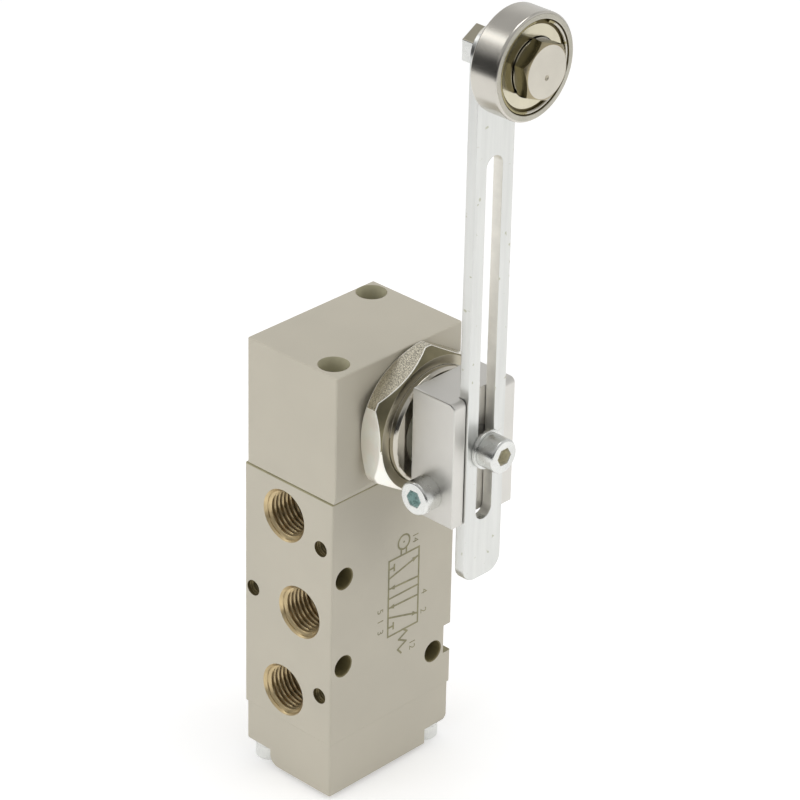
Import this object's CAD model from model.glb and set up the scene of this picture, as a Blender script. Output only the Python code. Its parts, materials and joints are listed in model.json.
import json
import math

import bmesh
import bpy
from mathutils import Matrix, Vector


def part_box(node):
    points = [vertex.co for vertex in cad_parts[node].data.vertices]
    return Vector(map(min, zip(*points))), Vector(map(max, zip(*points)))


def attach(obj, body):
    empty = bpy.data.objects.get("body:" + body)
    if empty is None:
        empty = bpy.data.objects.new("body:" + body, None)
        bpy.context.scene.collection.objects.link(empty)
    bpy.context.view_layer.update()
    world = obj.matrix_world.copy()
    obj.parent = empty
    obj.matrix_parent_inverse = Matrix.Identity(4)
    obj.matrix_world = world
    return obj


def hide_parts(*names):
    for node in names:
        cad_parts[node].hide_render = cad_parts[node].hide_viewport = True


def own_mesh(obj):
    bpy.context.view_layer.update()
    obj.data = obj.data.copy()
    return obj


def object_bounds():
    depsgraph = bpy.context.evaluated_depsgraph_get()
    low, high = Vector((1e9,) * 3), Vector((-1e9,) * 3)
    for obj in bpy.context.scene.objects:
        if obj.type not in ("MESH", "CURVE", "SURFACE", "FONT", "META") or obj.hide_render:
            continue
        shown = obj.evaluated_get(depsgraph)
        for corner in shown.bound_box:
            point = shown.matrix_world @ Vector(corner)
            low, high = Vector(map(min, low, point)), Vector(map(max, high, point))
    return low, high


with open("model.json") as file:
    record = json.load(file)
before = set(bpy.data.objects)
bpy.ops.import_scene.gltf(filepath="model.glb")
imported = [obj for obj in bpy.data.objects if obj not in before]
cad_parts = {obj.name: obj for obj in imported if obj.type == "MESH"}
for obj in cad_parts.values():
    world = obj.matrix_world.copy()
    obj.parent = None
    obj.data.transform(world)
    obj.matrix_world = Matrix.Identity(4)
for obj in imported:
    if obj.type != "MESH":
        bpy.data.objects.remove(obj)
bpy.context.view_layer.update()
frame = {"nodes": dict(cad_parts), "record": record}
mm = 0.001
print("frame loaded,", len(frame["nodes"]), "nodes")


def newFinish(name):
    material = bpy.data.materials.new(name)
    material.use_nodes = True
    nodes, links = material.node_tree.nodes, material.node_tree.links
    return material, nodes, links, nodes["Principled BSDF"]


def noiseOn(nodes, links, scale, detail, stretch=(1, 1, 1)):
    place = nodes.new("ShaderNodeTexCoord")
    mapping = nodes.new("ShaderNodeMapping")
    mapping.inputs["Scale"].default_value = stretch
    noise = nodes.new("ShaderNodeTexNoise")
    noise.inputs["Scale"].default_value = scale
    noise.inputs["Detail"].default_value = detail
    links.new(place.outputs["Object"], mapping.inputs["Vector"])
    links.new(mapping.outputs["Vector"], noise.inputs["Vector"])
    return noise.outputs["Fac"]


def mathsOn(nodes, links, operation, first, second=None, clamp=False):
    # each value is a number or another node's output
    node = nodes.new("ShaderNodeMath")
    node.operation = operation
    node.use_clamp = clamp
    for socket, value in zip(node.inputs, (first, second)):
        if isinstance(value, (int, float)):
            socket.default_value = value
        elif value is not None:
            links.new(value, socket)
    return node.outputs[0]


def rampOn(nodes, links, source, stops):
    ramp = nodes.new("ShaderNodeValToRGB")
    for stop, (place, colour) in zip(ramp.color_ramp.elements, (stops[0], stops[-1])):
        stop.position = place
        stop.color = (*colour, 1)
    for place, colour in stops[1:-1]:
        middle = ramp.color_ramp.elements.new(place)
        middle.color = (*colour, 1)
    links.new(source, ramp.inputs["Fac"])
    return ramp.outputs["Color"]


def spreadOn(nodes, links, source, given=(0.0, 1.0), wanted=(0.0, 1.0)):
    spread = nodes.new("ShaderNodeMapRange")
    for label, value in zip(("From Min", "From Max", "To Min", "To Max"), (*given, *wanted)):
        spread.inputs[label].default_value = value
    links.new(source, spread.inputs["Value"])
    return spread.outputs["Result"]


def bumpOn(nodes, links, source, depth):
    bump = nodes.new("ShaderNodeBump")
    bump.inputs["Strength"].default_value = 1.0
    bump.inputs["Distance"].default_value = depth
    links.new(source, bump.inputs["Height"])
    return bump.outputs["Normal"]


def shade(colour, factor):
    return tuple(channel * factor for channel in colour)


noiseSizes = dict(
    cloudDetail=5.0,
    cloudStops=(0.35, 0.5, 0.65),
    grainDetail=3.0,
    pitDetail=2.0,
    pits=(0.69, 0.74),
)


def cloudedFinish(name, values):
    # broad clouds vary colour and gloss, fine grain makes the bump
    material, nodes, links, shader = newFinish(name)
    stretch, grainStretch = (values.get(key, (1, 1, 1)) for key in ("stretch", "grainStretch"))
    clouds = noiseOn(nodes, links, values["cloudScale"], noiseSizes["cloudDetail"], stretch)
    grain = noiseOn(nodes, links, values["grainScale"], noiseSizes["grainDetail"], grainStretch)
    tones = [shade(values["colour"], 1 + share * values["cloudDepth"]) for share in (-1, 0, 1)]
    colour = rampOn(nodes, links, clouds, list(zip(noiseSizes["cloudStops"], tones)))
    if "speckScale" in values:
        # sparse small pits in a darker tone
        pits = noiseOn(nodes, links, values["speckScale"], noiseSizes["pitDetail"])
        mix = nodes.new("ShaderNodeMix")
        mix.data_type = "RGBA"
        links.new(spreadOn(nodes, links, pits, given=noiseSizes["pits"]), mix.inputs["Factor"])
        links.new(colour, mix.inputs["A"])
        mix.inputs["B"].default_value = (*values["speckColour"], 1)
        colour = mix.outputs["Result"]
    links.new(colour, shader.inputs["Base Color"])
    gloss = spreadOn(nodes, links, clouds, wanted=(values["roughLow"], values["roughHigh"]))
    links.new(gloss, shader.inputs["Roughness"])
    links.new(bumpOn(nodes, links, grain, values["grainDepth"]), shader.inputs["Normal"])
    shader.inputs["Metallic"].default_value = values["metallic"]
    return material


finishes = {
    "lacquer": dict(
        colour=(0.535, 0.497, 0.405),
        metallic=0.0,
        roughLow=0.38,
        roughHigh=0.5,
        cloudScale=60.0,
        cloudDepth=0.02,
        grainScale=2600.0,
        grainDepth=0.000012,
    ),
    "zincPlate": dict(
        colour=(0.74, 0.745, 0.72),
        metallic=1.0,
        roughLow=0.2,
        roughHigh=0.34,
        cloudScale=210.0,
        cloudDepth=0.07,
        grainScale=700.0,
        grainDepth=0.000026,
    ),
    "rolledZinc": dict(
        colour=(0.70, 0.705, 0.68),
        metallic=1.0,
        roughLow=0.22,
        roughHigh=0.38,
        cloudScale=420.0,
        cloudDepth=0.05,
        stretch=(1, 1, 0.08),
        grainScale=900.0,
        grainDepth=0.00003,
        grainStretch=(1, 1, 0.3),
        speckScale=520.0,
        speckColour=(0.50, 0.50, 0.40),
    ),
    "nickelPlate": dict(
        colour=(0.72, 0.66, 0.55),
        metallic=1.0,
        roughLow=0.14,
        roughHigh=0.3,
        cloudScale=260.0,
        cloudDepth=0.08,
        grainScale=1400.0,
        grainDepth=0.00006,
    ),
    "turnedNickel": dict(
        colour=(0.56, 0.53, 0.46),
        metallic=1.0,
        roughLow=0.1,
        roughHigh=0.2,
        cloudScale=120.0,
        cloudDepth=0.05,
        grainScale=1500.0,
        grainDepth=0.000008,
    ),
    "satinAluminium": dict(
        colour=(0.70, 0.685, 0.645),
        metallic=1.0,
        roughLow=0.36,
        roughHigh=0.46,
        cloudScale=70.0,
        cloudDepth=0.03,
        grainScale=1800.0,
        grainDepth=0.00002,
        grainStretch=(1, 1, 0.15),
    ),
    "bearingSteel": dict(
        colour=(0.60, 0.575, 0.52),
        metallic=1.0,
        roughLow=0.18,
        roughHigh=0.28,
        cloudScale=90.0,
        cloudDepth=0.04,
        grainScale=2400.0,
        grainDepth=0.000004,
    ),
    "chamferOlive": dict(
        colour=(0.235, 0.21, 0.13),
        metallic=1.0,
        roughLow=0.3,
        roughHigh=0.42,
        cloudScale=260.0,
        cloudDepth=0.1,
        grainScale=2200.0,
        grainDepth=0.00001,
    ),
    "brightEdge": dict(
        colour=(0.89, 0.865, 0.79),
        metallic=0.6,
        roughLow=0.35,
        roughHigh=0.45,
        cloudScale=260.0,
        cloudDepth=0.05,
        grainScale=2200.0,
        grainDepth=0.00001,
    ),
    "boltFacet": dict(
        colour=(0.23, 0.205, 0.12),
        metallic=1.0,
        roughLow=0.2,
        roughHigh=0.3,
        cloudScale=260.0,
        cloudDepth=0.12,
        grainScale=2200.0,
        grainDepth=0.00001,
    ),
    "boltCone": dict(
        colour=(0.36, 0.31, 0.20),
        metallic=1.0,
        roughLow=0.18,
        roughHigh=0.28,
        cloudScale=260.0,
        cloudDepth=0.1,
        grainScale=2200.0,
        grainDepth=0.00001,
    ),
    "sealCase": dict(
        colour=(0.85, 0.82, 0.67),
        metallic=0.2,
        roughLow=0.4,
        roughHigh=0.5,
        cloudScale=200.0,
        cloudDepth=0.05,
        grainScale=2200.0,
        grainDepth=0.00001,
    ),
    "ringFace": dict(
        colour=(0.46, 0.44, 0.375),
        metallic=1.0,
        roughLow=0.22,
        roughHigh=0.32,
        cloudScale=200.0,
        cloudDepth=0.06,
        grainScale=2200.0,
        grainDepth=0.00001,
    ),
    "turnedFace": dict(
        colour=(0.46, 0.425, 0.335),
        metallic=1.0,
        roughLow=0.26,
        roughHigh=0.36,
        cloudScale=200.0,
        cloudDepth=0.05,
        grainScale=2200.0,
        grainDepth=0.00001,
    ),
    "shieldSteel": dict(
        colour=(0.60, 0.56, 0.43),
        metallic=1.0,
        roughLow=0.12,
        roughHigh=0.22,
        cloudScale=150.0,
        cloudDepth=0.06,
        grainScale=2000.0,
        grainDepth=0.000008,
    ),
    "boredMetal": dict(
        colour=(0.60, 0.475, 0.27),
        metallic=0.8,
        roughLow=0.24,
        roughHigh=0.4,
        cloudScale=300.0,
        cloudDepth=0.14,
        grainScale=2200.0,
        grainDepth=0.00002,
    ),
    "darkBore": dict(
        colour=(0.27, 0.22, 0.11),
        metallic=0.7,
        roughLow=0.35,
        roughHigh=0.5,
        cloudScale=300.0,
        cloudDepth=0.2,
        grainScale=2200.0,
        grainDepth=0.00002,
    ),
    "paintedBore": dict(
        colour=(0.185, 0.155, 0.07),
        metallic=0.0,
        roughLow=0.5,
        roughHigh=0.6,
        cloudScale=200.0,
        cloudDepth=0.06,
        grainScale=2200.0,
        grainDepth=0.00002,
    ),
    "speckledNickel": dict(
        colour=(0.60, 0.56, 0.45),
        metallic=1.0,
        roughLow=0.1,
        roughHigh=0.2,
        cloudScale=3200.0,
        cloudDepth=0.4,
        grainScale=3000.0,
        grainDepth=0.00012,
    ),
    "satinNickel": dict(
        colour=(1.0, 0.97, 0.9),
        metallic=1.0,
        roughLow=0.42,
        roughHigh=0.55,
        cloudScale=200.0,
        cloudDepth=0.05,
        grainScale=2100.0,
        grainDepth=0.00002,
    ),
    "shadedSeat": dict(
        colour=(0.12, 0.095, 0.035),
        metallic=0.7,
        roughLow=0.35,
        roughHigh=0.5,
        cloudScale=300.0,
        cloudDepth=0.15,
        grainScale=2200.0,
        grainDepth=0.00001,
    ),
    "oliveSteel": dict(
        colour=(0.34, 0.30, 0.17),
        metallic=1.0,
        roughLow=0.2,
        roughHigh=0.3,
        cloudScale=300.0,
        cloudDepth=0.12,
        grainScale=2200.0,
        grainDepth=0.00001,
    ),
    "socketShade": dict(
        colour=(0.74, 0.71, 0.58),
        metallic=0.45,
        roughLow=0.25,
        roughHigh=0.4,
        cloudScale=500.0,
        cloudDepth=0.2,
        grainScale=2200.0,
        grainDepth=0.00002,
    ),
    "socketTeal": dict(
        colour=(0.52, 0.66, 0.64),
        metallic=0.3,
        roughLow=0.2,
        roughHigh=0.35,
        cloudScale=500.0,
        cloudDepth=0.25,
        grainScale=2200.0,
        grainDepth=0.00002,
    ),
    "recessPaint": dict(
        colour=(0.55, 0.52, 0.37),
        metallic=0.0,
        roughLow=0.4,
        roughHigh=0.5,
        cloudScale=200.0,
        cloudDepth=0.05,
        grainScale=2400.0,
        grainDepth=0.00001,
    ),
    "seamShade": dict(
        colour=(0.33, 0.30, 0.18),
        metallic=0.0,
        roughLow=0.5,
        roughHigh=0.6,
        cloudScale=200.0,
        cloudDepth=0.10,
        grainScale=2400.0,
        grainDepth=0.00001,
    ),
    "groundSteel": dict(
        colour=(0.5, 0.5, 0.49),
        metallic=1.0,
        roughLow=0.25,
        roughHigh=0.35,
        cloudScale=120.0,
        cloudDepth=0.05,
        grainScale=1800.0,
        grainDepth=0.000006,
    ),
    "sinteredBronze": dict(
        colour=(0.50, 0.33, 0.16),
        metallic=0.9,
        roughLow=0.4,
        roughHigh=0.55,
        cloudScale=400.0,
        cloudDepth=0.12,
        grainScale=2600.0,
        grainDepth=0.00003,
    ),
    "sealRubber": dict(
        colour=(0.25, 0.215, 0.10),
        metallic=0.0,
        roughLow=0.5,
        roughHigh=0.65,
        cloudScale=200.0,
        cloudDepth=0.2,
        grainScale=2600.0,
        grainDepth=0.00002,
    ),
    "spacerPlastic": dict(
        colour=(0.68, 0.66, 0.58),
        metallic=0.0,
        roughLow=0.4,
        roughHigh=0.5,
        cloudScale=120.0,
        cloudDepth=0.04,
        grainScale=1600.0,
        grainDepth=0.00001,
    ),
    "markingInk": dict(
        colour=(0.26, 0.24, 0.135),
        metallic=0.0,
        roughLow=0.5,
        roughHigh=0.6,
        cloudScale=500.0,
        cloudDepth=0.15,
        grainScale=2500.0,
        grainDepth=0.00001,
    ),
}
made = {name: cloudedFinish(name, values) for name, values in finishes.items()}
slotFinish = {
    "lacquer": "lacquer",
    "zinc_steel": "zincPlate",
    "nickel": "nickelPlate",
    "block_aluminium": "satinAluminium",
    "ground_steel": "groundSteel",
    "bearing_steel": "bearingSteel",
    "spring_steel": "groundSteel",
    "bronze": "sinteredBronze",
    "seal_rubber": "sealRubber",
    "spacer_plastic": "spacerPlastic",
}
nodeSlot = {part["node"]: part["material_slot"] for part in frame["record"]["subparts"]}
nodeBody = {node: body for body, nodes in frame["record"]["behaviour"]["bodies"].items() for node in nodes}
for node, cadObject in frame["nodes"].items():
    cadObject.data.materials.clear()
    cadObject.data.materials.append(made[slotFinish[nodeSlot[node]]])
print("materials made,", len(made))

meshSizes = dict(
    merge=0.002,
    flatAngle=0.4,
    creaseAngle=32,
    cutAngle=30,
    weight=100,
    arcSteps=8,
    edgeSteps=2,
    blockEdgeSteps=3,
)


def linked(name, mesh):
    piece = bpy.data.objects.new(name, mesh)
    bpy.context.scene.collection.objects.link(piece)
    return piece


def evaluated(piece):
    bpy.context.view_layer.update()
    graph = bpy.context.evaluated_depsgraph_get()
    return bpy.data.meshes.new_from_object(piece.evaluated_get(graph), depsgraph=graph)


def settled(piece, angle=meshSizes["creaseAngle"]):
    # the modifiers become the mesh, with smooth faces up to the angle and flats that stay flat
    mesh = evaluated(piece)
    piece.modifiers.clear()
    piece.data = mesh
    mesh.polygons.foreach_set("use_smooth", [True] * len(mesh.polygons))
    mesh.set_sharp_from_angle(angle=math.radians(angle))
    weighted = piece.modifiers.new("flats", "WEIGHTED_NORMAL")
    weighted.mode = "FACE_AREA"
    weighted.weight = meshSizes["weight"]
    weighted.keep_sharp = True
    mesh = evaluated(piece)
    piece.modifiers.clear()
    piece.data = mesh


def everyEdge(start, end):
    return 1.0


def besideX(place, axis):
    # how far a place lies from an axis along x
    return math.hypot(place.y - axis.y, place.z - axis.z)


def dressed(node, edge=0.0, finish=None, weightAt=everyEdge):
    # a merged copy of the CAD node with softened edges stands for it
    mesh = frame["nodes"][node].data.copy()
    mesh.name = node + "Dressed"
    work = bmesh.new()
    work.from_mesh(mesh)
    bmesh.ops.remove_doubles(work, verts=work.verts, dist=meshSizes["merge"] * mm)
    flat = math.radians(meshSizes["flatAngle"])
    bmesh.ops.dissolve_limit(work, angle_limit=flat, verts=work.verts, edges=work.edges)
    weights = work.edges.layers.float.new("bevel_weight_edge")
    for line in work.edges:
        if len(line.link_faces) == 2 and line.calc_face_angle() > math.radians(meshSizes["creaseAngle"]):
            line[weights] = weightAt(*(end.co / mm for end in line.verts))
    work.to_mesh(mesh)
    work.free()
    piece = linked(node + "Dressed", mesh)
    if edge:
        bevel = piece.modifiers.new("edges", "BEVEL")
        bevel.width = edge * mm
        bevel.segments = meshSizes["edgeSteps"]
        bevel.limit_method = "WEIGHT"
    settled(piece)
    piece.data.materials.clear()
    piece.data.materials.append(made[finish or slotFinish[nodeSlot[node]]])
    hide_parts(node)
    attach(piece, nodeBody[node])
    return piece


def painted(piece, finish, holds):
    # the faces whose centre in millimetres and normal pass the test take another finish
    mesh = piece.data
    mesh.materials.append(made[finish])
    index = len(mesh.materials) - 1
    for face in mesh.polygons:
        if holds(face.center / mm, face.normal):
            face.material_index = index


def paintedRing(piece, finish, axis, low, high, most):
    # the same for faces that lie wholly between two radii around an axis along x
    mesh = piece.data
    mesh.materials.append(made[finish])
    index = len(mesh.materials) - 1
    for face in mesh.polygons:
        reaches = [besideX(mesh.vertices[number].co / mm, axis) for number in face.vertices]
        if low < min(reaches) and max(reaches) < high and abs(face.normal.x) < most:
            face.material_index = index


threadSizes = dict(rootShare=0.14, flankSlope=1.39)
threadInputs = {
    "Minor Radius": "Float",
    "Major Radius": "Float",
    "Pitch": "Float",
    "Length": "Float",
    "Mouth Radius": "Float",
    "Round Steps": "Int",
    "Steps Per Turn": "Float",
    "Material": "Material",
}


def threadTree():
    tree = bpy.data.node_groups.new("threadedRod", "GeometryNodeTree")
    for label, kind in threadInputs.items():
        tree.interface.new_socket(label, in_out="INPUT", socket_type="NodeSocket" + kind)
    tree.interface.new_socket("Geometry", in_out="OUTPUT", socket_type="NodeSocketGeometry")
    given = tree.nodes.new("NodeGroupInput").outputs

    def maths(*values, **options):
        return mathsOn(tree.nodes, tree.links, *values, **options)

    rod = tree.nodes.new("GeometryNodeMeshCylinder")
    rod.inputs["Radius"].default_value = 1.0
    tree.links.new(given["Round Steps"], rod.inputs["Vertices"])
    turns = maths("DIVIDE", given["Length"], given["Pitch"])
    tree.links.new(maths("MULTIPLY", turns, given["Steps Per Turn"]), rod.inputs["Side Segments"])
    tree.links.new(given["Length"], rod.inputs["Depth"])
    place = tree.nodes.new("ShaderNodeSeparateXYZ")
    tree.links.new(tree.nodes.new("GeometryNodeInputPosition").outputs[0], place.inputs[0])
    x, y, z = place.outputs
    # the depth from the mouth, where the rod starts at z = 0
    depth = maths("SUBTRACT", maths("MULTIPLY", given["Length"], 0.5), z)
    turn = maths("DIVIDE", maths("ARCTAN2", y, x), 2 * math.pi)
    along = maths("FRACT", maths("ADD", turn, maths("DIVIDE", depth, given["Pitch"])))
    tooth = maths("SUBTRACT", 1.0, maths("ABSOLUTE", maths("SUBTRACT", maths("MULTIPLY", along, 2.0), 1.0)))
    flank = maths("SUBTRACT", tooth, threadSizes["rootShare"])
    flank = maths("MULTIPLY", flank, threadSizes["flankSlope"], clamp=True)
    height = maths("SUBTRACT", given["Major Radius"], given["Minor Radius"])
    wall = maths("ADD", given["Minor Radius"], maths("MULTIPLY", flank, height))
    radius = maths("MAXIMUM", wall, maths("SUBTRACT", given["Mouth Radius"], depth))
    moved = tree.nodes.new("ShaderNodeCombineXYZ")
    tree.links.new(maths("MULTIPLY", x, radius), moved.inputs[0])
    tree.links.new(maths("MULTIPLY", y, radius), moved.inputs[1])
    tree.links.new(maths("MULTIPLY", depth, -1.0), moved.inputs[2])
    shift = tree.nodes.new("GeometryNodeSetPosition")
    tree.links.new(rod.outputs["Mesh"], shift.inputs["Geometry"])
    tree.links.new(moved.outputs[0], shift.inputs["Position"])
    real = tree.nodes.new("GeometryNodeRealizeInstances")
    tree.links.new(shift.outputs[0], real.inputs[0])
    paint = tree.nodes.new("GeometryNodeSetMaterial")
    tree.links.new(real.outputs[0], paint.inputs["Geometry"])
    tree.links.new(given["Material"], paint.inputs["Material"])
    tree.links.new(paint.outputs[0], tree.nodes.new("NodeGroupOutput").inputs["Geometry"])
    return tree


rodTree = threadTree()


def threadedRod(name, *values):
    # the values are in the order of threadInputs; the rod runs down from its mouth at z = 0
    piece = linked(name, bpy.data.meshes.new(name))
    modifier = piece.modifiers.new("thread", "NODES")
    modifier.node_group = rodTree
    ids = {item.name: item.identifier for item in rodTree.interface.items_tree if item.in_out == "INPUT"}
    for label, value in zip(threadInputs, values):
        modifier[ids[label]] = value
    mesh = evaluated(piece)
    piece.modifiers.clear()
    piece.data = mesh
    return piece


blockSizes = dict(
    cornerRadius=0.5,
    edge=0.42,
    portMinor=5.72,
    portMajor=6.58,
    portPitch=1.337,
    portMouth=7.0,
    portDepth=12.0,
    passage=3.0,
    tappedMinor=2.1,
    tappedMajor=2.5,
    tappedPitch=0.8,
    tappedLead=0.9,
    tappedDepth=9.0,
    fixing=2.75,
    rimRise=0.25,
    bore=7.0,
    boreBeyond=2.0,
    proud=0.4,
)
size = {label: value * mm for label, value in blockSizes.items()}  # the same in metres
# the foot's share of the edge width, and how far a fixing cutter goes into the width
blockShares = dict(footEdge=0.1, fixing=0.51)
roundSteps = dict(
    port=72,
    portTurn=9.0,
    passage=32,
    tapped=36,
    tappedTurn=7.0,
    tappedCore=40,
    fixing=48,
    bore=64,
)


def roundedBlock(name, low, high, corner, edge):
    work = bmesh.new()
    rim = []
    for signX, signY, start in ((1, 1, 0), (-1, 1, 90), (-1, -1, 180), (1, -1, 270)):
        centreX = (high.x - corner) if signX > 0 else (low.x + corner)
        centreY = (high.y - corner) if signY > 0 else (low.y + corner)
        for step in range(meshSizes["arcSteps"] + 1):
            angle = math.radians(start + step * 90 / meshSizes["arcSteps"])
            rim.append((centreX + corner * math.cos(angle), centreY + corner * math.sin(angle)))
    foot = [work.verts.new((x, y, low.z)) for x, y in rim]
    top = [work.verts.new((x, y, high.z)) for x, y in rim]
    work.faces.new(foot[::-1])
    work.faces.new(top)
    for index in range(len(rim)):
        after = (index + 1) % len(rim)
        work.faces.new((foot[index], foot[after], top[after], top[index]))
    weights = work.edges.layers.float.new("bevel_weight_edge")
    for line in work.edges:
        heights = [end.co.z for end in line.verts]
        if min(heights) == max(heights):
            line[weights] = 1.0 if heights[0] > (low.z + high.z) / 2 else blockShares["footEdge"]
    mesh = bpy.data.meshes.new(name)
    work.to_mesh(mesh)
    work.free()
    piece = linked(name, mesh)
    bevel = piece.modifiers.new("edges", "BEVEL")
    bevel.width = edge
    bevel.segments = meshSizes["blockEdgeSteps"]
    bevel.limit_method = "WEIGHT"
    piece.data = evaluated(piece)
    piece.modifiers.clear()
    return piece


def plainRod(name, radius, length, steps, rim=0.0, finish="boredMetal"):
    # a cutter that starts at z = 0 and runs down, with a countersink at its mouth if it has a rim
    work = bmesh.new()
    rings = []
    proud = size["proud"]
    levels = [(proud, radius + rim + (proud if rim else 0))]
    levels += [(0.0, radius + rim), (-rim, radius)] if rim else []
    levels += [(-length, radius)]
    for z, ringRadius in levels:
        ring = []
        for step in range(steps):
            angle = 2 * math.pi * step / steps
            ring.append(work.verts.new((ringRadius * math.cos(angle), ringRadius * math.sin(angle), z)))
        rings.append(ring)
    for upper, lower in zip(rings, rings[1:]):
        for step in range(steps):
            after = (step + 1) % steps
            work.faces.new((upper[step], lower[step], lower[after], upper[after]))
    work.faces.new(rings[0])
    work.faces.new(rings[-1][::-1])
    mesh = bpy.data.meshes.new(name)
    bmesh.ops.recalc_face_normals(work, faces=work.faces)
    work.to_mesh(mesh)
    work.free()
    mesh.materials.append(made[finish])
    return linked(name, mesh)


def cutAway(piece, cutters):
    for cutter in cutters:
        step = piece.modifiers.new("cut", "BOOLEAN")
        step.operation = "DIFFERENCE"
        step.solver = "EXACT"
        step.material_mode = "TRANSFER"
        step.object = cutter
    settled(piece, meshSizes["cutAngle"])
    for cutter in cutters:
        bpy.data.objects.remove(cutter)


def turnTo(axis, place):
    # a rod that runs down from z = 0 is turned so that its mouth looks along the axis
    towards = Vector(axis).to_track_quat("Z", "Y").to_matrix().to_4x4()
    return Matrix.Translation(Vector(place)) @ towards


# the block is built anew from its box and the record's mounts, with threads and countersinks
mounts = {mount["name"]: mount for mount in frame["record"]["mounts"]}
blockLow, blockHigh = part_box("valve_body")
blockDepth, blockHeight = blockHigh.y - blockLow.y, blockHigh.z - blockLow.z
blockPiece = roundedBlock("valveBlock", blockLow, blockHigh, size["cornerRadius"], size["edge"])
blockPiece.data.materials.append(made["lacquer"])
blockPiece.data.materials.append(made["boredMetal"])
cutters = []
for name, mount in mounts.items():
    axis, place = Vector(mount["axis"]), Vector(mount["pos_m"])
    if name.startswith("port_"):
        mouth = Vector((place.x, blockHigh.y if axis.y > 0 else blockLow.y, place.z))
        cutter = threadedRod(
            name,
            size["portMinor"],
            size["portMajor"],
            size["portPitch"],
            size["portDepth"] + size["proud"],
            size["portMouth"] + size["proud"],
            roundSteps["port"],
            roundSteps["portTurn"],
            made["boredMetal"],
        )
        cutter.data.transform(turnTo(axis, mouth + axis * size["proud"]))
        passage = plainRod(name + "Passage", size["passage"], blockDepth / 2, roundSteps["passage"])
        passage.data.transform(turnTo(axis, mouth - axis * size["proud"]))
        cutters += [cutter, passage]
    elif name.startswith("tapped_"):
        mouth = Vector((place.x, blockLow.y, place.z))
        core = plainRod(
            name + "Core",
            size["tappedMinor"],
            size["tappedDepth"],
            roundSteps["tappedCore"],
            finish="darkBore",
        )
        core.data.transform(turnTo(axis, mouth))
        cutter = threadedRod(
            name,
            size["tappedMinor"],
            size["tappedMajor"],
            size["tappedPitch"],
            size["tappedDepth"] - size["tappedLead"],
            size["tappedMinor"],
            roundSteps["tapped"],
            roundSteps["tappedTurn"],
            made["darkBore"],
        )
        cutter.data.transform(turnTo(axis, mouth - axis * size["tappedLead"]))
        cutters += [core, cutter]
spacing = mounts["fixing_holes"]["dims"]["spacing_y_mm"] * mm
pair = Vector(mounts["fixing_holes"]["pos_m"])
lower = Vector(mounts["lower_fixing_hole"]["pos_m"])
width = blockHigh.x - blockLow.x
fixingPlaces = [(pair.y, pair.z + spacing / 2), (pair.y, pair.z - spacing / 2), (lower.y, lower.z)]
for number, (y, z) in enumerate(fixingPlaces):
    for side in (1, -1):
        rod = plainRod(
            f"fixing{number}{side}",
            size["fixing"],
            width * blockShares["fixing"],
            roundSteps["fixing"],
            size["rimRise"],
            "paintedBore",
        )
        rod.data.transform(turnTo((side, 0, 0), (side * width / 2, y, z)))
        cutters.append(rod)
boreRod = plainRod("boreRod", size["bore"], blockHeight + size["boreBeyond"], roundSteps["bore"])
boreRod.data.transform(Matrix.Translation((0, 0, blockHigh.z)))
cutters.append(boreRod)
# the notch in the block's rear corner
notchSizes = dict(lowX=9.5, lowY=18.8, low=24.4, high=32.5, beyond=1.0)
notchMesh = bpy.data.meshes.new("notchCutter")
notchWork = bmesh.new()
bmesh.ops.create_cube(notchWork, size=1.0)
notchLow = Vector((notchSizes["lowX"], notchSizes["lowY"], notchSizes["low"])) * mm
beyond = notchSizes["beyond"] * mm
notchHigh = Vector((blockHigh.x + beyond, blockHigh.y + beyond, notchSizes["high"] * mm))
notchScale = Matrix.Diagonal((*(notchHigh - notchLow), 1))
notchWork.transform(Matrix.Translation((notchLow + notchHigh) / 2) @ notchScale)
notchWork.to_mesh(notchMesh)
notchWork.free()
notchMesh.materials.append(made["seamShade"])
cutters.append(linked("notchCutter", notchMesh))
cutAway(blockPiece, cutters)
# a face whose normal passes this share of an axis looks along it
square = 0.97
seamSizes = dict(upright=0.15, headRise=0.4, side=0.5)
seamLow = blockHigh.z / mm - blockSizes["edge"]


def inBlockSeam(centre, normal):
    return centre.z > seamLow and seamSizes["upright"] < abs(normal.z) < square


painted(blockPiece, "seamShade", inBlockSeam)
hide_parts("valve_body")
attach(blockPiece, "valve")
print("block cut,", len(blockPiece.data.polygons), "faces")

# dressed copies stand for the other pieces that show
screwLow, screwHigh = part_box("clamp_screw")
screwAxis = (screwLow + screwHigh) / 2 / mm
capLow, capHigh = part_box("end_cap")
headLow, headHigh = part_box("actuator_head")
rollerLow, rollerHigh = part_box("bearing_outer_ring")
rollerAxis = (rollerLow + rollerHigh) / 2 / mm
shaftLow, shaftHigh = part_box("neck_nut")
shaftAxis = (shaftLow + shaftHigh) / 2 / mm

# how much of its piece's edge width an edge takes, and where
clampEdges = dict(groove=0.35, grooveReach=9.0, holeReach=3.0)
ringEdges = dict(outer=0.25, seatReach=12.0)
capEdges = dict(seam=0.05, seamDrop=0.2, level=0.22, rise=1.0)


def clampEdge(start, end):
    # the screw's hole keeps its sharp rim under the head
    middle = (start + end) / 2
    if min(start.x, end.x) > screwHigh.x / mm and abs(middle.y - shaftAxis.y) < clampEdges["grooveReach"]:
        return clampEdges["groove"]
    reach = math.hypot(middle.x - screwAxis.x, middle.z - screwAxis.z)
    return 0.0 if reach < clampEdges["holeReach"] else 1.0


def ringEdge(start, end):
    # the seat's inner edge shows as a broad dark line, the rolling surface keeps its small edges
    return 1.0 if besideX((start + end) / 2, rollerAxis) < ringEdges["seatReach"] else ringEdges["outer"]


def capEdge(start, end):
    # the seam to the block stays nearly sharp, and the pockets' upright edges are rounded most
    if min(start.z, end.z) > blockLow.z / mm - capEdges["seamDrop"]:
        return capEdges["seam"]
    return 1.0 if abs(start.z - end.z) > capEdges["rise"] else capEdges["level"]


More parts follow.
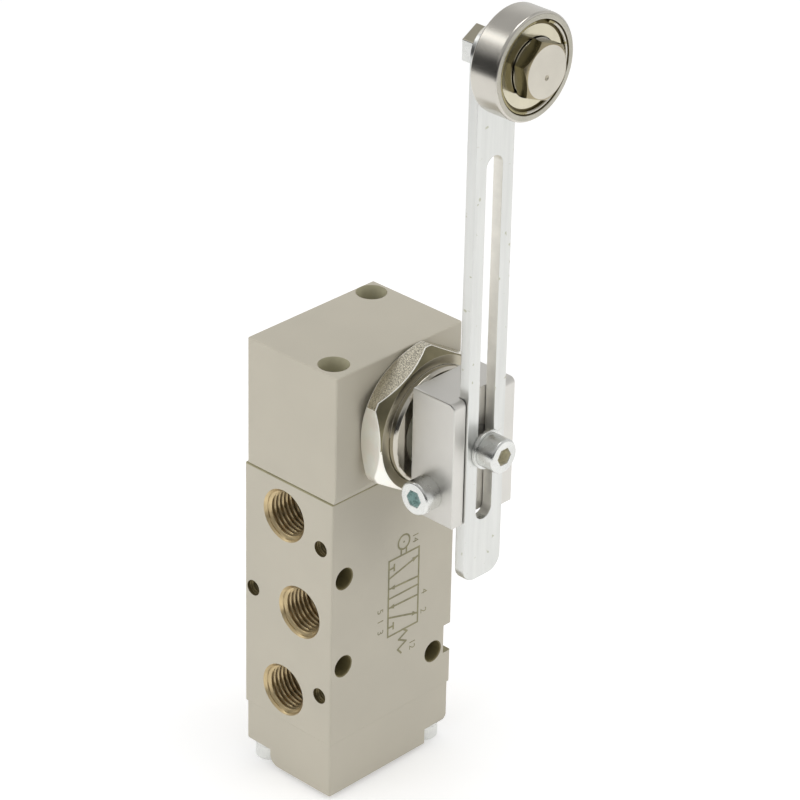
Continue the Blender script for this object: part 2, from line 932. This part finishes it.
edges = {
    "actuator_head": dict(edge=0.2),
    "end_cap": dict(edge=0.9, weightAt=capEdge),
    "clamp_block": dict(edge=0.3, weightAt=clampEdge),
    "lever_arm": dict(edge=0.3, finish="rolledZinc"),
    "neck_nut": dict(edge=0.28, finish="nickelPlate"),
    "threaded_neck": dict(edge=0.15, finish="turnedNickel"),
    "roller_bolt": dict(edge=0.12, finish="turnedNickel"),
    "roller_nut": dict(edge=0.3),
    "roller_spacer": dict(edge=0.15),
    "arm_screw": dict(edge=0.15),
    "arm_washer": dict(edge=0.12),
    "clamp_screw": dict(edge=0.15),
    "head_screws": dict(edge=0.15),
    "cap_screws": dict(edge=0.15),
    "cap_washers": dict(edge=0.1),
    "bearing_outer_ring": dict(edge=0.5, weightAt=ringEdge),
    "shaft_seal": dict(edge=0.1),
    "bearing_inner_ring": dict(edge=0.08),
    "front_shield": dict(finish="shieldSteel"),
    "rear_shield": dict(finish="shieldSteel"),
    "front_snap_wire": dict(finish="oliveSteel"),
    "rear_snap_wire": dict(finish="oliveSteel"),
    "lever_shaft": dict(edge=0.1),
    "return_spring": dict(),
}
dressedPieces = {node: dressed(node, **values) for node, values in edges.items()}
# the spring shortens by as much as the spool comes down
springPiece = dressedPieces["return_spring"]
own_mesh(springPiece)


capSizes = dict(pocket=3.7, pocketStart=6.2, wallX=-6.0, radius=2.8, reach=3.5, beyond=1.0)


def cornerCutter(name, corner, inward, span, turned):
    # a prism that rounds a lower corner, whose plane is that of one axis and z, along the other axis
    across, height = corner
    radius, beyond = capSizes["radius"], capSizes["beyond"]
    middle = (across + inward * radius, height + radius)
    outline = []
    for step in range(meshSizes["arcSteps"] + 1):
        angle = math.radians(step * 90 / meshSizes["arcSteps"])
        aside, down = inward * radius * math.cos(angle), radius * math.sin(angle)
        outline.append((middle[0] - aside, middle[1] - down))
    outline.append((middle[0], height - beyond))
    outline.append((across - inward * beyond, height - beyond))
    outline.append((across - inward * beyond, middle[1]))
    work = bmesh.new()
    ends = []
    for along in span:
        places = [(along, wide, z) if turned else (wide, along, z) for wide, z in outline]
        ends.append([work.verts.new(Vector(place) * mm) for place in places])
    work.faces.new(ends[0])
    work.faces.new(ends[1][::-1])
    for index in range(len(outline)):
        after = (index + 1) % len(outline)
        work.faces.new((ends[0][index], ends[1][index], ends[1][after], ends[0][after]))
    bmesh.ops.recalc_face_normals(work, faces=work.faces)
    mesh = bpy.data.meshes.new(name)
    work.to_mesh(mesh)
    work.free()
    mesh.materials.append(made["lacquer"])
    return linked(name, mesh)


rearSpan = (capSizes["pocketStart"], capHigh.x / mm + capSizes["beyond"])
footSpan = (capLow.y / mm - capSizes["beyond"], capLow.y / mm + capSizes["reach"])
rearCutter = cornerCutter("capRear", (capHigh.y / mm, capSizes["pocket"]), -1, rearSpan, True)
footCutter = cornerCutter("capFoot", (capSizes["wallX"], capLow.z / mm), 1, footSpan, False)
cutAway(dressedPieces["end_cap"], [rearCutter, footCutter])

# faces of the dressed pieces that take another finish
recessSizes = dict(below=0.3, x=10.0, y=16.6, reach=4.0)
seamTop = headLow.z / mm + seamSizes["headRise"]
recessLow = headHigh.z / mm - recessSizes["below"]


def inHeadSeam(centre, normal):
    return centre.z < seamTop and -square < normal.z < -seamSizes["upright"] and normal.x < seamSizes["side"]


def inScrewRecess(centre, normal):
    x, y = recessSizes["x"], recessSizes["y"]
    reach = min(math.hypot(centre.x - x, centre.y + y), math.hypot(centre.x + x, centre.y - y))
    return centre.z < recessLow and reach < recessSizes["reach"]


painted(dressedPieces["actuator_head"], "seamShade", inHeadSeam)
painted(dressedPieces["actuator_head"], "recessPaint", inScrewRecess)

# shares of the normal: the nut's flats, its chamfers, and where each takes the lower finish
nutFaces = dict(flat=0.12, flatSplit=0.3, chamfer=0.7, chamferSplit=-0.05)


def onNutFlat(normal):
    return abs(normal.x) < nutFaces["flat"]


def onNutChamfer(normal):
    return nutFaces["chamfer"] < abs(normal.x) <= square


def onNutEdge(centre, normal):
    return nutFaces["flat"] <= abs(normal.x) <= nutFaces["chamfer"]


nutPiece = dressedPieces["neck_nut"]
flatSplit, chamferSplit = nutFaces["flatSplit"], nutFaces["chamferSplit"]
painted(nutPiece, "speckledNickel", lambda centre, normal: onNutFlat(normal) and normal.z > flatSplit)
painted(nutPiece, "satinNickel", lambda centre, normal: onNutFlat(normal) and normal.z <= flatSplit)
painted(nutPiece, "turnedFace", lambda centre, normal: normal.x > square)
painted(nutPiece, "chamferOlive", lambda centre, normal: onNutChamfer(normal) and normal.z > chamferSplit)
painted(nutPiece, "satinNickel", lambda centre, normal: onNutChamfer(normal) and normal.z <= chamferSplit)
painted(nutPiece, "brightEdge", onNutEdge)

# radii on the bearing, and the most that a normal may lean towards x
ringSeat = dict(low=10.9, high=11.8, most=0.9)
shieldRim = dict(low=9.8, high=11.3, most=1.1)
painted(dressedPieces["bearing_outer_ring"], "ringFace", lambda centre, normal: abs(normal.x) > square)
paintedRing(dressedPieces["bearing_outer_ring"], "shadedSeat", rollerAxis, **ringSeat)
paintedRing(dressedPieces["front_shield"], "shadedSeat", rollerAxis, **shieldRim)

boltFaces = dict(facet=0.1, headReach=5.0, mark=0.999, markRise=3.0, markReach=3.0)
boltFace = rollerHigh.x / mm


def onBoltHead(centre):
    return centre.x > boltFace and besideX(centre, rollerAxis) > boltFaces["headReach"]


def onBoltFacet(centre, normal):
    return onBoltHead(centre) and abs(normal.x) < boltFaces["facet"]


def onBoltCone(centre, normal):
    return onBoltHead(centre) and boltFaces["facet"] <= abs(normal.x) < square


def inBoltMark(centre, normal):
    near = besideX(centre, rollerAxis) < boltFaces["markReach"]
    return near and centre.x > boltFace + boltFaces["markRise"] and abs(normal.x) < boltFaces["mark"]


painted(dressedPieces["roller_bolt"], "boltFacet", onBoltFacet)
painted(dressedPieces["roller_bolt"], "boltCone", onBoltCone)
painted(dressedPieces["roller_bolt"], "turnedFace", inBoltMark)

slotFaces = dict(wall=0.4, reach=4.0, towardsFront=-0.3)
nutTop = dict(flat=0.3, up=0.6)
sealFaces = dict(face=0.2, neckDepth=1.3, wall=0.5, neckReach=11.2)
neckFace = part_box("threaded_neck")[1].x / mm
wireArcs = [(-101.0, -58.0), (-12.0, 13.5), (16.5, 54.5)]  # degrees around the roller's axis


def inArmSlot(centre, normal):
    near = abs(centre.y - shaftAxis.y) < slotFaces["reach"]
    return near and abs(normal.x) < slotFaces["wall"] and normal.y < slotFaces["towardsFront"]


def onRollerNutTop(centre, normal):
    return abs(normal.x) < nutTop["flat"] and normal.z > nutTop["up"]


def inNeckRecess(centre, normal):
    near = besideX(centre, shaftAxis) < sealFaces["neckReach"]
    return near and centre.x > neckFace - sealFaces["neckDepth"] and abs(normal.x) < sealFaces["wall"]


def inWireArc(centre, normal):
    turn = math.degrees(math.atan2(centre.z - rollerAxis.z, centre.y - rollerAxis.y))
    return any(low < turn < high for low, high in wireArcs)


painted(dressedPieces["lever_arm"], "brightEdge", inArmSlot)
painted(dressedPieces["roller_nut"], "turnedFace", onRollerNutTop)
painted(dressedPieces["shaft_seal"], "sealCase", lambda centre, normal: normal.x > sealFaces["face"])
painted(dressedPieces["threaded_neck"], "sealCase", inNeckRecess)
painted(dressedPieces["front_snap_wire"], "turnedNickel", inWireArc)

socketSizes = dict(reach=2.32, rim=0.1, depth=3.0)
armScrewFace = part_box("arm_screw")[1].x / mm
clampScrewFace = screwLow.y / mm


def inSocket(reach, depth):
    return reach < socketSizes["reach"] and socketSizes["rim"] < depth < socketSizes["depth"]


def inArmSocket(centre, normal):
    return inSocket(besideX(centre, shaftAxis), armScrewFace - centre.x)


def inClampSocket(centre, normal):
    reach = math.hypot(centre.x - screwAxis.x, centre.z - screwAxis.z)
    return inSocket(reach, centre.y - clampScrewFace)


painted(dressedPieces["arm_screw"], "socketShade", inArmSocket)
painted(dressedPieces["clamp_screw"], "socketTeal", inClampSocket)
print("pieces dressed,", len(edges))

# the symbol and the port numbers on the lever's side
symbol = dict(
    face=blockHigh.x / mm,
    proud=0.02,
    layer=0.004,
    line=0.52,
    left=-1.6,
    right=9.05,
    foot=38.0,
    middle=48.95,
    top=59.8,
    circleY=3.56,
    circleZ=63.4,
    circleRadius=2.0,
    circleSteps=40,
    dotRadius=0.28,
    stem=0.9,
    stemLap=0.3,
    arrowLength=1.9,
    arrowWidth=1.35,
    barStart=-1.4,
    barEnd=0.3,
    barHalf=0.8,
    textSize=2.898,
)


def flatMesh(name, outlines):
    # each outline is a layer and a list of (y, z) in millimetres on the +X face
    work = bmesh.new()
    for layer, outline in outlines:
        x = (symbol["face"] + symbol["proud"] + layer * symbol["layer"]) * mm
        work.faces.new([work.verts.new((x, y * mm, z * mm)) for y, z in outline])
    mesh = bpy.data.meshes.new(name)
    work.to_mesh(mesh)
    work.free()
    for polygon in mesh.polygons:
        if polygon.normal.x < 0:
            polygon.flip()
    mesh.materials.append(made["markingInk"])
    return mesh


def stroke(start, end):
    half = symbol["line"] / 2
    along = (Vector(end) - Vector(start)).normalized()
    side = Vector((-along.y, along.x)) * half
    reach = along * half
    tail, tip = Vector(start) - reach, Vector(end) + reach
    return [tail + side, tail - side, tip - side, tip + side]


def arrowHead(start, end):
    along = (Vector(end) - Vector(start)).normalized()
    side = Vector((-along.y, along.x)) * symbol["arrowWidth"] / 2
    tip = Vector(end)
    back = tip - along * symbol["arrowLength"]
    return [tip, back + side, back - side]


# strokes that cross lie in different layers, so that no two faces share a plane
layers = dict(frame=0, line=4, over=5, bar=6, barTop=7)
arrows = [
    ((-1.4, 54.8), (8.7, 57.3)),
    ((8.9, 51.3), (-1.3, 51.8)),
    ((8.8, 46.0), (-1.4, 46.3)),
    ((-1.3, 43.5), (8.9, 40.7)),
]
bars = [57.4, 40.6]
zigzag = [(3.9, 38.0), (5.3, 37.0), (2.4, 35.6), (5.0, 34.2), (2.1, 32.8), (3.3, 31.4)]
outlines = []
left, right, foot, top = (symbol[key] for key in ("left", "right", "foot", "top"))
corners = [(left, foot), (right, foot), (right, top), (left, top)]
for layer, (first, second) in enumerate(zip(corners, corners[1:] + corners[:1])):
    outlines.append((layer, stroke(first, second)))
outlines.append((layers["frame"], stroke((left, symbol["middle"]), (right, symbol["middle"]))))
for start, end in arrows:
    outlines.append((layers["line"], stroke(start, end)))
    outlines.append((layers["over"], arrowHead(start, end)))
barStart, barEnd, barHalf = (symbol[key] for key in ("barStart", "barEnd", "barHalf"))
for z in bars:
    outlines.append((layers["bar"], stroke((barStart, z), (barEnd, z))))
    outlines.append((layers["barTop"], stroke((barEnd, z - barHalf), (barEnd, z + barHalf))))


def onCircle(radius, turn):
    return (symbol["circleY"] + radius * math.cos(turn), symbol["circleZ"] + radius * math.sin(turn))


inner, outer = symbol["circleRadius"] - symbol["line"] / 2, symbol["circleRadius"] + symbol["line"] / 2
for step in range(symbol["circleSteps"]):
    first, second = (2 * math.pi * value / symbol["circleSteps"] for value in (step, step + 1))
    part = [onCircle(inner, first), onCircle(outer, first), onCircle(outer, second), onCircle(inner, second)]
    outlines.append((layers["line"], part))
dot = [onCircle(symbol["dotRadius"], math.radians(turn)) for turn in range(0, 360, 45)]
outlines.append((layers["line"], dot))
stemTop = symbol["circleZ"] - symbol["circleRadius"] + symbol["stemLap"]
for y in (symbol["circleY"] - symbol["stem"], symbol["circleY"] + symbol["stem"]):
    outlines.append((layers["over"], stroke((y, top), (y, stemTop))))
for step, (first, second) in enumerate(zip(zigzag, zigzag[1:])):
    outlines.append((layers["over"] if step % 2 else layers["line"], stroke(first, second)))
symbolPiece = linked("valveSymbol", flatMesh("valveSymbol", outlines))
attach(symbolPiece, "valve")

numbers = {
    "14": (7.6, 63.0),
    "4": (11.2, 46.0),
    "2": (11.0, 40.5),
    "5": (-4.5, 46.6),
    "1": (-4.4, 43.7),
    "3": (-4.35, 40.5),
    "12": (7.2, 32.2),
}
# a text lies on the +X face with its top towards +Y
turned = Matrix(((0, 0, 1, 0), (0, 1, 0, 0), (-1, 0, 0, 0), (0, 0, 0, 1)))
for text, (y, z) in numbers.items():
    letters = bpy.data.curves.new("number" + text, "FONT")
    letters.body = text
    letters.size = symbol["textSize"] * mm
    letters.align_x = "CENTER"
    letters.align_y = "CENTER"
    holder = linked("number" + text + "Text", letters)
    mesh = evaluated(holder)
    bpy.data.objects.remove(holder)
    mesh.transform(Matrix.Translation(((symbol["face"] + symbol["proud"]) * mm, y * mm, z * mm)) @ turned)
    mesh.materials.clear()
    mesh.materials.append(made["markingInk"])
    number = linked("portNumber" + text, mesh)
    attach(number, "valve")
print("marking drawn")

tableSizes = dict(radius=0.62, steps=96, below=0.00002, colour=(0.9, 0.9, 0.9, 1), roughness=0.8, lift=0.32)
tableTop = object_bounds()[0].z - tableSizes["below"]
tableRim = [2 * math.pi * step / tableSizes["steps"] for step in range(tableSizes["steps"])]
tableMesh = bpy.data.meshes.new("table")
tableReach = tableSizes["radius"]
tablePoints = [(tableReach * math.cos(turn), tableReach * math.sin(turn), tableTop) for turn in tableRim]
tableMesh.from_pydata(tablePoints, [], [tuple(range(tableSizes["steps"]))])
table = linked("table", tableMesh)
tableFinish, nodes, links, shader = newFinish("paleTable")
shader.inputs["Base Color"].default_value = tableSizes["colour"]
shader.inputs["Roughness"].default_value = tableSizes["roughness"]
shader.inputs["Specular IOR Level"].default_value = 0.0
# for the camera and in the metal the table is nearly as white as the world, and keeps the shadow
path = nodes.new("ShaderNodeLightPath").outputs
seen = mathsOn(nodes, links, "MAXIMUM", path["Is Camera Ray"], path["Is Glossy Ray"])
lift = mathsOn(nodes, links, "MULTIPLY", seen, tableSizes["lift"])
links.new(lift, shader.inputs["Emission Strength"])
shader.inputs["Emission Color"].default_value = (1, 1, 1, 1)
table.data.materials.append(tableFinish)

# the world is white for the camera, plain for diffuse light, and for metal a room with a dim side
worldSizes = dict(plain=0.5, room=0.52, dim=0.05, behind=0.25)
# where the dim side and the bright back of that room end, in shares of the direction, and how softly
roomSides = dict(lowEnd=0.42, lowSlope=4.0, frontSlope=2.0, highEnd=0.75, highSlope=3.0)
world = bpy.data.worlds.new("studio")
bpy.context.scene.world = world
world.use_nodes = True
nodes, links = world.node_tree.nodes, world.node_tree.links
background = nodes["Background"]
background.inputs["Color"].default_value = (1, 1, 1, 1)


def worldMaths(*values, **options):
    return mathsOn(nodes, links, *values, **options)


def fading(value, slope):
    return worldMaths("MULTIPLY", value, slope, clamp=True)


split = nodes.new("ShaderNodeSeparateXYZ")
links.new(nodes.new("ShaderNodeTexCoord").outputs["Generated"], split.inputs[0])
towards = split.outputs
low = fading(worldMaths("SUBTRACT", roomSides["lowEnd"], towards["Z"]), roomSides["lowSlope"])
front = fading(worldMaths("SUBTRACT", 0.0, towards["Y"]), roomSides["frontSlope"])
dimness = worldMaths("MULTIPLY", worldMaths("MULTIPLY", low, front), worldSizes["room"] - worldSizes["dim"])
notHigh = fading(worldMaths("SUBTRACT", roomSides["highEnd"], towards["Z"]), roomSides["highSlope"])
behind = worldMaths("MULTIPLY", fading(towards["Y"], roomSides["frontSlope"]), notHigh)
inMetal = worldMaths("SUBTRACT", worldSizes["room"], dimness)
inMetal = worldMaths("ADD", inMetal, worldMaths("MULTIPLY", behind, worldSizes["behind"]))
path = nodes.new("ShaderNodeLightPath").outputs
plainPart = worldMaths("MULTIPLY", worldMaths("SUBTRACT", 1.0, path["Is Glossy Ray"]), worldSizes["plain"])
metalPart = worldMaths("MULTIPLY", path["Is Glossy Ray"], inMetal)
strength = worldMaths("MAXIMUM", worldMaths("ADD", plainPart, metalPart), path["Is Camera Ray"])
links.new(strength, background.inputs["Strength"])

# the two that stand where the metal mirrors the room itself aren't mirrored
lamps = {
    "key": dict(place=(-0.8, -0.45, 0.86), size=0.46, power=1.0, mirrored=True),
    "front": dict(place=(-0.2, -1.1, 0.4), size=1.0, power=4.9, mirrored=False),
    "rear": dict(place=(0.85, 0.6, 0.35), size=1.2, power=4.4, mirrored=False),
    "top": dict(place=(0.1, 0.1, 1.3), size=0.6, power=3.0, mirrored=True),
}
aim = Vector((0.01, 0.0, 0.09))
for name, values in lamps.items():
    light = bpy.data.lights.new(name, "AREA")
    light.shape = "SQUARE"
    light.size = values["size"]
    light.energy = values["power"]
    lamp = bpy.data.objects.new(name, light)
    bpy.context.scene.collection.objects.link(lamp)
    lamp.visible_glossy = values["mirrored"]
    lamp.location = values["place"]
    lamp.rotation_mode = "QUATERNION"
    lamp.rotation_quaternion = (aim - Vector(values["place"])).to_track_quat("-Z", "Y")

# the camera as solved from the photograph, with angles in degrees, place and sensor in millimetres
view = dict(
    azimuth=43.312,
    elevation=28.578,
    roll=1.212,
    focalPixels=3786.0,
    frame=800,
    place=(561.02, -578.11, 537.45),
    sensor=36.0,
    clip=(0.01, 20),
)
azimuth, elevation, roll = (math.radians(view[key]) for key in ("azimuth", "elevation", "roll"))
levelRight = Vector((math.cos(azimuth), math.sin(azimuth), 0))
level = math.cos(elevation)
back = Vector((math.sin(azimuth) * level, -math.cos(azimuth) * level, math.sin(elevation)))
up = back.cross(levelRight)
rolledRight = levelRight * math.cos(roll) + up * math.sin(roll)
rolledUp = up * math.cos(roll) - levelRight * math.sin(roll)
lens = bpy.data.cameras.new("photoCamera")
camera = bpy.data.objects.new("photoCamera", lens)
bpy.context.scene.collection.objects.link(camera)
lens.sensor_width = view["sensor"]
lens.lens = view["focalPixels"] / view["frame"] * lens.sensor_width
lens.clip_start, lens.clip_end = view["clip"]
turn = Matrix((rolledRight, rolledUp, back)).transposed().to_4x4()
camera.matrix_world = Matrix.Translation(Vector(view["place"]) * mm) @ turn
bpy.context.scene.camera = camera
bpy.context.scene.view_settings.view_transform = "Standard"
print("stage lit")
